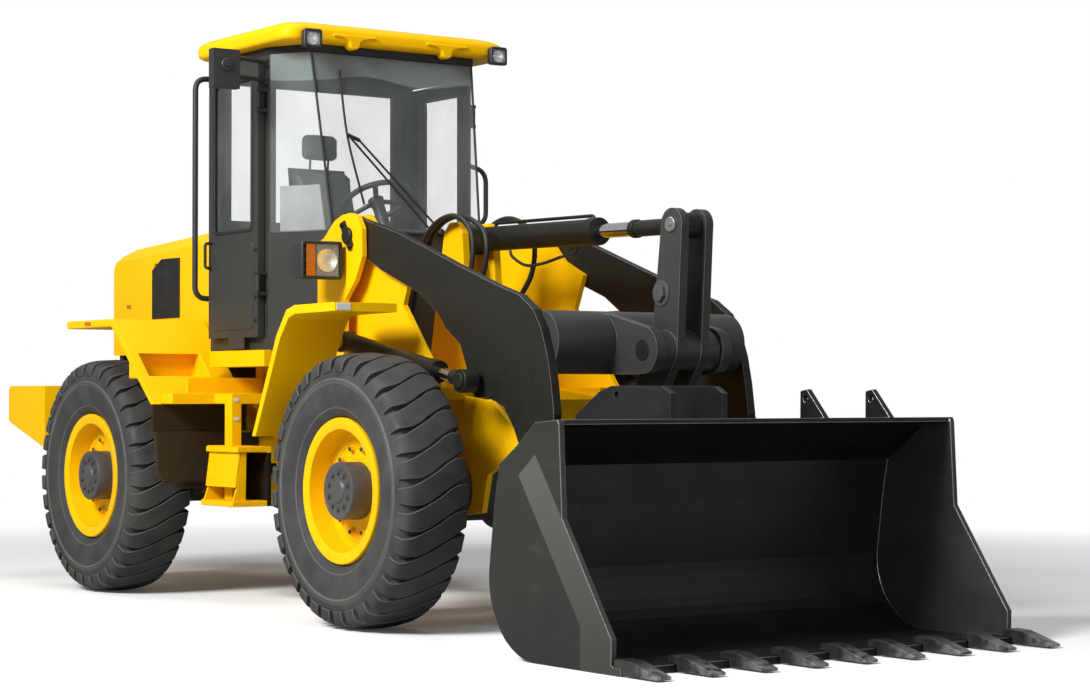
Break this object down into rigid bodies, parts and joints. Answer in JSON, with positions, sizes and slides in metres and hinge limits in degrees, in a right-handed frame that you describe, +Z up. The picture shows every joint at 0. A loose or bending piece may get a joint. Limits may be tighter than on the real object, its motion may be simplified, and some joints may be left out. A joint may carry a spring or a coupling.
{
  "type": "wheel loader",
  "caption": "Articulated wheel loader with a glazed cab, rear engine hood, lift arms with Z-bar linkage and a toothed bucket, hinged to steer at its middle.",
  "frame": {"origin": "on the ground under the middle of the machine's box", "axes": "+X forward to the bucket, +Y to the driver's left, +Z up"},
  "size_m": [6.8344, 2.31, 3.185],
  "materials": {
    "paint_yellow": "gloss paint",
    "paint_dark": "satin dark paint",
    "cab_charcoal": "satin charcoal paint",
    "bucket_black": "worn black paint",
    "tooth_steel": "worn steel",
    "axle_grey": "matte",
    "chrome_rod": "polished",
    "tyre_rubber": "matte rubber",
    "window_glass": "tinted clear",
    "seat_cover": "vinyl",
    "trim_plastic": "moulded",
    "lamp_plastic": "clear and coloured lenses",
    "red_lens": "lens"
  },
  "bodies": {
    "rear_frame": {"rear_chassis": "paint_yellow", "rear_pivot": "paint_yellow", "cab_frame": "paint_yellow", "engine_block": "axle_grey", "rear_grille": "paint_dark", "counterweight": "paint_yellow", "rear_fenders": "paint_yellow", "access_steps": "paint_yellow", "tank_boxes": "trim_plastic", "rear_axle": "axle_grey", "cab_shell": "cab_charcoal", "cab_roof": "paint_yellow", "windscreen": "window_glass", "cab_glass": "window_glass", "seat": "seat_cover", "console": "trim_plastic", "roof_lamps": "lamp_plastic", "side_mirror": "trim_plastic", "handrails": "trim_plastic", "rear_lamps": "red_lens"},
    "hood": {"hood": "paint_yellow", "exhaust": "axle_grey"},
    "door_right": {"door_right": "cab_charcoal", "door_glass_right": "window_glass"},
    "door_left": {"door_left": "cab_charcoal", "door_glass_left": "window_glass"},
    "front_frame": {"front_chassis": "paint_yellow", "front_pivot": "paint_yellow", "tilt_bracket": "paint_yellow", "towers": "paint_yellow", "front_fenders": "paint_yellow", "head_lamps": "lamp_plastic", "front_axle": "axle_grey"},
    "boom": {"arms": "paint_dark", "cross_tube": "paint_dark"},
    "bucket": {"bucket": "bucket_black", "bucket_ears": "bucket_black", "bucket_teeth": "tooth_steel"},
    "bellcrank": {"bellcrank": "paint_dark"},
    "bucket_link": {"bucket_link": "paint_dark"},
    "tilt_barrel": {"tilt_barrel": "paint_dark"},
    "tilt_rod": {"tilt_rod": "chrome_rod"},
    "lift_barrels": {"lift_barrels": "paint_dark"},
    "lift_rods": {"lift_rods": "chrome_rod"},
    "steer_barrel_right": {"steer_barrel_right": "paint_dark"},
    "steer_barrel_left": {"steer_barrel_left": "paint_dark"},
    "steer_rod_right": {"steer_rod_right": "chrome_rod"},
    "steer_rod_left": {"steer_rod_left": "chrome_rod"},
    "wheel_front_right": {"tyre_front_right": "tyre_rubber", "rim_front_right": "paint_yellow"},
    "wheel_front_left": {"tyre_front_left": "tyre_rubber", "rim_front_left": "paint_yellow"},
    "wheel_rear_right": {"tyre_rear_right": "tyre_rubber", "rim_rear_right": "paint_yellow"},
    "wheel_rear_left": {"tyre_rear_left": "tyre_rubber", "rim_rear_left": "paint_yellow"}
  },
  "joints": [
    {"name": "steer", "type": "hinge", "parent": "rear_frame", "child": "front_frame", "pos_m": [-0.59675, 0, 0.8], "axis": [0, 0, -1], "range_deg": [-40, 40]},
    {"name": "door_right_hinge", "type": "hinge", "parent": "rear_frame", "child": "door_right", "pos_m": [-0.69375, -0.706, 2.2], "axis": [0, 0, -1], "range_deg": [-80, 0]},
    {"name": "door_left_hinge", "type": "hinge", "parent": "rear_frame", "child": "door_left", "pos_m": [-0.69375, 0.706, 2.2], "axis": [0, 0, -1], "range_deg": [0, 80]},
    {"name": "hood_hinge", "type": "hinge", "parent": "rear_frame", "child": "hood", "pos_m": [-1.46175, 0, 2.06], "axis": [0, 1, 0], "range_deg": [0, 50]},
    {"name": "wheel_rear_right_spin", "type": "hinge", "parent": "rear_frame", "child": "wheel_rear_right", "pos_m": [-2.02325, -0.93, 0.675], "axis": [0, 1, 0], "continuous": true},
    {"name": "wheel_rear_left_spin", "type": "hinge", "parent": "rear_frame", "child": "wheel_rear_left", "pos_m": [-2.02325, 0.93, 0.675], "axis": [0, 1, 0], "continuous": true},
    {"name": "wheel_front_right_spin", "type": "hinge", "parent": "front_frame", "child": "wheel_front_right", "pos_m": [0.82975, -0.93, 0.675], "axis": [0, 1, 0], "continuous": true},
    {"name": "wheel_front_left_spin", "type": "hinge", "parent": "front_frame", "child": "wheel_front_left", "pos_m": [0.82975, 0.93, 0.675], "axis": [0, 1, 0], "continuous": true},
    {"name": "boom_lift", "type": "hinge", "parent": "front_frame", "child": "boom", "pos_m": [0.15825, 0, 1.97], "axis": [0, -1, 0], "range_deg": [-2.5, 84]},
    {"name": "bucket_tilt", "type": "hinge", "parent": "boom", "child": "bucket", "pos_m": [2.10325, 0, 0.36], "axis": [0, 1, 0], "range_deg": [-35, 129]},
    {"name": "bellcrank_pivot", "type": "hinge", "parent": "boom", "child": "bellcrank", "pos_m": [2.11825, 0, 1.35], "axis": [0, -1, 0], "range_deg": [-6.1, 21.14]},
    {"name": "link_pivot", "type": "hinge", "parent": "bucket", "child": "bucket_link", "pos_m": [2.16325, 0, 0.6], "axis": [0, -1, 0], "range_deg": [-27.1, 98.54]},
    {"name": "tilt_base_pivot", "type": "hinge", "parent": "front_frame", "child": "tilt_barrel", "pos_m": [0.35825, 0, 1.96], "axis": [0, -1, 0], "range_deg": [-3.17, 90.38]},
    {"name": "tilt_rod_slide", "type": "slide", "parent": "tilt_barrel", "child": "tilt_rod", "axis": [0.9999, 0, -0.0138], "range_m": [-0.21139, 0.05881]},
    {"name": "lift_base_pivot", "type": "hinge", "parent": "front_frame", "child": "lift_barrels", "pos_m": [0.20325, 0, 1.418], "axis": [0, -1, 0], "range_deg": [-2.75, 76.1]},
    {"name": "lift_rod_slide", "type": "slide", "parent": "lift_barrels", "child": "lift_rods", "axis": [0.9832, 0, -0.1825], "range_m": [-0.02316, 0.71305]},
    {"name": "steer_base_right", "type": "hinge", "parent": "rear_frame", "child": "steer_barrel_right", "pos_m": [-1.15675, -0.2, 0.82], "axis": [0, 0, -1], "range_deg": [-16.3, 16.3]},
    {"name": "steer_base_left", "type": "hinge", "parent": "rear_frame", "child": "steer_barrel_left", "pos_m": [-1.15675, 0.2, 0.82], "axis": [0, 0, -1], "range_deg": [-16.3, 16.3]},
    {"name": "steer_rod_right_slide", "type": "slide", "parent": "steer_barrel_right", "child": "steer_rod_right", "axis": [0.9937, -0.1117, 0], "range_m": [-0.18002, 0.18002]},
    {"name": "steer_rod_left_slide", "type": "slide", "parent": "steer_barrel_left", "child": "steer_rod_left", "axis": [0.9937, 0.1117, 0], "range_m": [-0.18002, 0.18002]}
  ],
  "couplings": [
    {"joint": "bellcrank_pivot", "follows": "bucket_tilt", "ratio": 0.16},
    {"joint": "link_pivot", "follows": "bucket_tilt", "ratio": 0.76},
    {"joint": "tilt_base_pivot", "follows": "boom_lift", "ratio": 1.07},
    {"joint": "tilt_rod_slide", "follows": "bucket_tilt", "m_per_rad": -0.093},
    {"joint": "lift_base_pivot", "follows": "boom_lift", "ratio": 0.9},
    {"joint": "lift_rod_slide", "follows": "boom_lift", "m_per_rad": 0.485},
    {"joint": "steer_base_right", "follows": "steer", "ratio": 0.395},
    {"joint": "steer_base_left", "follows": "steer", "ratio": 0.395},
    {"joint": "steer_rod_right_slide", "follows": "steer", "m_per_rad": -0.255},
    {"joint": "steer_rod_left_slide", "follows": "steer", "m_per_rad": 0.255}
  ]
}
